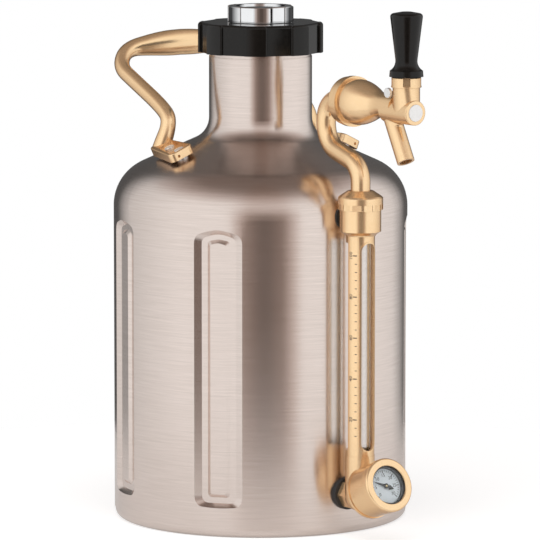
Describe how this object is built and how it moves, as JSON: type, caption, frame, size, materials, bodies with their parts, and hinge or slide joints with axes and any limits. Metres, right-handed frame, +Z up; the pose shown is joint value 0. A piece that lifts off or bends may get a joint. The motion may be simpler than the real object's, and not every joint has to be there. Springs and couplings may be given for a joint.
{
  "type": "mini keg with tap",
  "caption": "Double-walled steel mini keg with a regulator cap, sight tube, pressure gauge, swan neck, locking tap and carrying handle.",
  "frame": {"origin": "centre of the standing ring on the floor plane", "axes": "+Z up along the bottle, the tap points along -Y"},
  "size_m": [0.176, 0.2472, 0.3122],
  "materials": {
    "champagne_steel": "brushed round the body, warm champagne tone",
    "inner_steel": "plain stainless steel",
    "satin_brass": "satin brass plating",
    "plain_brass": "turned brass",
    "clear_glass": "clear glass",
    "clear_lens": "clear lens",
    "black_rubber": "black rubber",
    "white_enamel": "white dial with plain marks",
    "black_plastic": "matt black plastic",
    "black_gloss": "glossy black plastic",
    "black_paint": "black paint",
    "silver_steel": "polished steel",
    "knob_chrome": "chrome plating",
    "spring_steel": "spring wire",
    "sleeve_aluminium": "turned aluminium",
    "cartridge_steel": "zinc plated steel"
  },
  "bodies": {
    "vessel": {"outer_shell": "champagne_steel", "liner": "inner_steel", "base_cup": "champagne_steel", "neck_ring": "champagne_steel", "port_bush": "inner_steel", "port_washer": "black_rubber", "elbow": "satin_brass", "sight_glass": "clear_glass", "glass_seals": "black_rubber", "sight_shield": "satin_brass", "upper_housing": "satin_brass", "standoff_washer": "black_rubber", "standoff_stud": "inner_steel", "union_nut": "satin_brass", "union_seal": "black_rubber", "gauge_case": "inner_steel", "gauge_movement": "plain_brass", "gauge_dial": "white_enamel", "gauge_spacer": "black_plastic", "gauge_lens": "clear_lens", "gauge_bezel": "satin_brass", "swan_neck": "satin_brass", "coupling_nut": "satin_brass", "faucet_body": "satin_brass", "lever_collar": "satin_brass", "front_plug": "silver_steel", "carry_handle": "satin_brass", "handle_bosses": "inner_steel", "handle_screws": "silver_steel"},
    "cap": {"cap_grip": "black_gloss", "cap_core": "black_plastic", "cap_seal": "black_rubber", "relief_valve": "plain_brass", "piercing_pin": "inner_steel", "sleeve_seal": "black_rubber", "regulator_spring": "spring_steel", "regulator_piston": "plain_brass"},
    "knob": {"regulator_knob": "knob_chrome", "knob_disc": "knob_chrome"},
    "plate": {"spring_plate": "plain_brass"},
    "sleeve": {"cartridge_sleeve": "sleeve_aluminium", "co2_cartridge": "cartridge_steel"},
    "lever": {"tap_lever": "inner_steel", "tap_handle": "black_gloss"},
    "valve": {"valve_shaft": "inner_steel", "valve_seal": "black_rubber"},
    "lock": {"lock_pin": "silver_steel"},
    "needle": {"gauge_needle": "black_paint"}
  },
  "joints": [
    {"name": "cap_lift", "type": "slide", "parent": "vessel", "child": "cap", "axis": [0, 0, 1], "range_m": [0, 0.125]},
    {"name": "regulator_knob_turn", "type": "hinge", "parent": "cap", "child": "knob", "pos_m": [0, 0, 0.3], "axis": [0, 0, -1], "range_deg": [0, 270]},
    {"name": "spring_plate_drive", "type": "slide", "parent": "cap", "child": "plate", "axis": [0, 0, -1], "range_m": [0, 0.00302], "deforming": ["regulator_spring"]},
    {"name": "sleeve_drop", "type": "slide", "parent": "cap", "child": "sleeve", "axis": [0, 0, -1], "range_m": [0, 0.08]},
    {"name": "tap_lever_pull", "type": "hinge", "parent": "vessel", "child": "lever", "pos_m": [0, -0.1464, 0.2665], "axis": [1, 0, 0], "range_deg": [0, 24]},
    {"name": "valve_slide", "type": "slide", "parent": "vessel", "child": "valve", "axis": [0, 1, 0], "range_m": [0, 0.0049]},
    {"name": "lock_pin_push", "type": "slide", "parent": "vessel", "child": "lock", "axis": [1, 0, 0], "range_m": [0, 0.0026]},
    {"name": "gauge_needle_turn", "type": "hinge", "parent": "vessel", "child": "needle", "pos_m": [0, -0.102, 0.0248], "axis": [0, 0.9367, -0.3502], "range_deg": [-68, 202]}
  ],
  "couplings": [
    {"joint": "spring_plate_drive", "follows": "regulator_knob_turn", "m_per_rad": 0.0006366},
    {"joint": "valve_slide", "follows": "tap_lever_pull", "m_per_rad": 0.011555}
  ]
}
